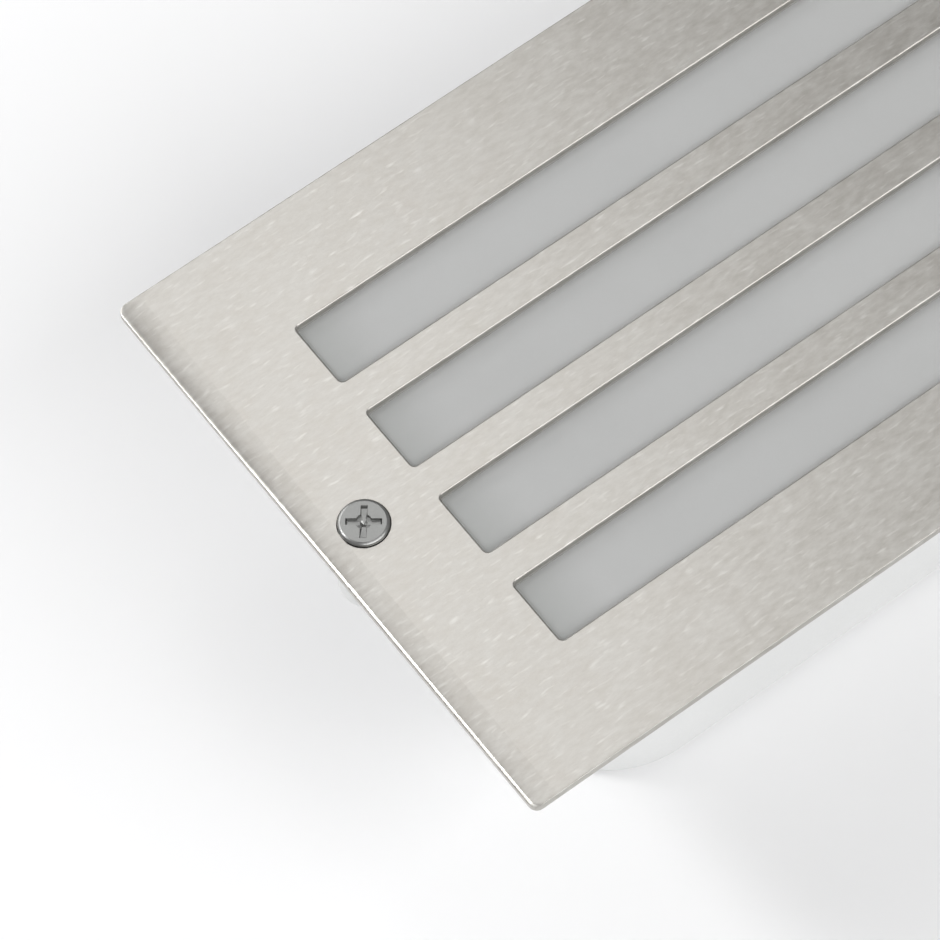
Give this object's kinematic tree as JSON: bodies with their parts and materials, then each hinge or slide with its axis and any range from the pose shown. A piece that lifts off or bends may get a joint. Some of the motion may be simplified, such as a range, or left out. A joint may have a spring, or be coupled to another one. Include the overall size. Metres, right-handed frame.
{
  "type": "step light",
  "caption": "Recessed step light: slotted brushed face plate over a frosted lens, on a lamp insert held by captive screws in a drafted wall box with a cable gland.",
  "frame": {"origin": "centre of the wall box's flat back", "axes": "+X along the face plate, towards the end with the cable gland; +Y across the plate; +Z out of the face plate"},
  "size_m": [0.2545, 0.105, 0.0567],
  "materials": {
    "brushed_stainless": "stainless sheet, face brushed along its length",
    "polished_stainless": "stainless screw, head turned and tumbled bright",
    "plain_steel": "zinc plated steel fasteners",
    "frosted_glass": "toughened glass, sand-blasted matt on its back",
    "black_rubber": "matt black rubber",
    "black_foam": "closed-cell foam rubber",
    "grey_silicone": "soft grey silicone",
    "white_enamel": "moulded glossy white reflector",
    "white_plastic": "moulded white plastic with a light spark texture",
    "white_board": "aluminium board under white solder mask",
    "led_resin": "yellow phosphor resin in white packages",
    "driver_plastic": "light grey potted case",
    "terminal_nylon": "natural nylon",
    "gland_nylon": "black nylon",
    "brass": "plain brass",
    "tinned_brass": "tinned brass",
    "brown_insulation": "lead insulation",
    "blue_insulation": "lead insulation",
    "green_yellow_insulation": "green lead insulation with a yellow stripe",
    "red_insulation": "lead insulation",
    "black_insulation": "lead insulation"
  },
  "bodies": {
    "wall_box": {"recess_housing": "white_plastic", "threaded_inserts": "brass", "box_gasket": "black_foam", "gland_washer": "black_rubber", "gland_body": "gland_nylon", "gland_locknut": "gland_nylon"},
    "light_insert": {"face_plate": "brushed_stainless", "stud_nuts": "plain_steel", "lens": "frosted_glass", "lens_seal": "grey_silicone", "lamp_tray": "white_enamel", "thermal_pad": "grey_silicone", "led_board": "white_board", "led_packages": "led_resin", "led_board_screws": "plain_steel", "lead_grommet": "black_rubber", "driver_lid": "driver_plastic", "driver_case": "driver_plastic", "driver_screws": "plain_steel", "terminal_block": "terminal_nylon", "terminal_tubes": "brass", "terminal_screws": "plain_steel", "terminal_block_screw": "plain_steel", "earth_tag": "tinned_brass", "earth_screw": "plain_steel", "live_lead": "brown_insulation", "neutral_lead": "blue_insulation", "earth_lead": "green_yellow_insulation", "positive_lead": "red_insulation", "negative_lead": "black_insulation"},
    "left_seal": {"left_screw_seal": "black_rubber"},
    "left_screw": {"left_face_screw": "polished_stainless"},
    "right_seal": {"right_screw_seal": "black_rubber"},
    "right_screw": {"right_face_screw": "polished_stainless"},
    "gland_seal_ring": {"gland_seal": "black_rubber"},
    "gland_dome_nut": {"gland_nut": "gland_nylon"},
    "plug_washer_ring": {"plug_washer": "black_rubber"},
    "entry_plug": {"blanking_plug": "gland_nylon"}
  },
  "joints": [
    {"name": "insert_lift", "type": "slide", "parent": "wall_box", "child": "light_insert", "axis": [0, 0, 1], "range_m": [0, 0.05]},
    {"name": "left_screw_withdraw", "type": "slide", "parent": "light_insert", "child": "left_seal", "axis": [0, 0, 1], "range_m": [0, 0.007]},
    {"name": "left_screw_turn", "type": "hinge", "parent": "left_seal", "child": "left_screw", "pos_m": [-0.117, 0, 0.056], "axis": [0, 0, 1], "range_deg": [0, 3600]},
    {"name": "right_screw_withdraw", "type": "slide", "parent": "light_insert", "child": "right_seal", "axis": [0, 0, 1], "range_m": [0, 0.007]},
    {"name": "right_screw_turn", "type": "hinge", "parent": "right_seal", "child": "right_screw", "pos_m": [0.117, 0, 0.056], "axis": [0, 0, 1], "range_deg": [0, 3600]},
    {"name": "gland_seal_withdraw", "type": "slide", "parent": "wall_box", "child": "gland_seal_ring", "axis": [1, 0, 0], "range_m": [0, 0.006]},
    {"name": "gland_nut_turn", "type": "hinge", "parent": "gland_seal_ring", "child": "gland_dome_nut", "pos_m": [0.12, 0, 0.024], "axis": [1, 0, 0], "range_deg": [0, 1440]},
    {"name": "plug_withdraw", "type": "slide", "parent": "wall_box", "child": "plug_washer_ring", "axis": [-1, 0, 0], "range_m": [0, 0.0075]},
    {"name": "plug_turn", "type": "hinge", "parent": "plug_washer_ring", "child": "entry_plug", "pos_m": [-0.11, 0, 0.024], "axis": [-1, 0, 0], "range_deg": [0, 1800]}
  ],
  "couplings": [
    {"joint": "left_screw_turn", "follows": "left_screw_withdraw", "rad_per_m": 8976},
    {"joint": "right_screw_turn", "follows": "right_screw_withdraw", "rad_per_m": 8976},
    {"joint": "gland_nut_turn", "follows": "gland_seal_withdraw", "rad_per_m": 4188.8},
    {"joint": "plug_turn", "follows": "plug_withdraw", "rad_per_m": 4188.8}
  ]
}
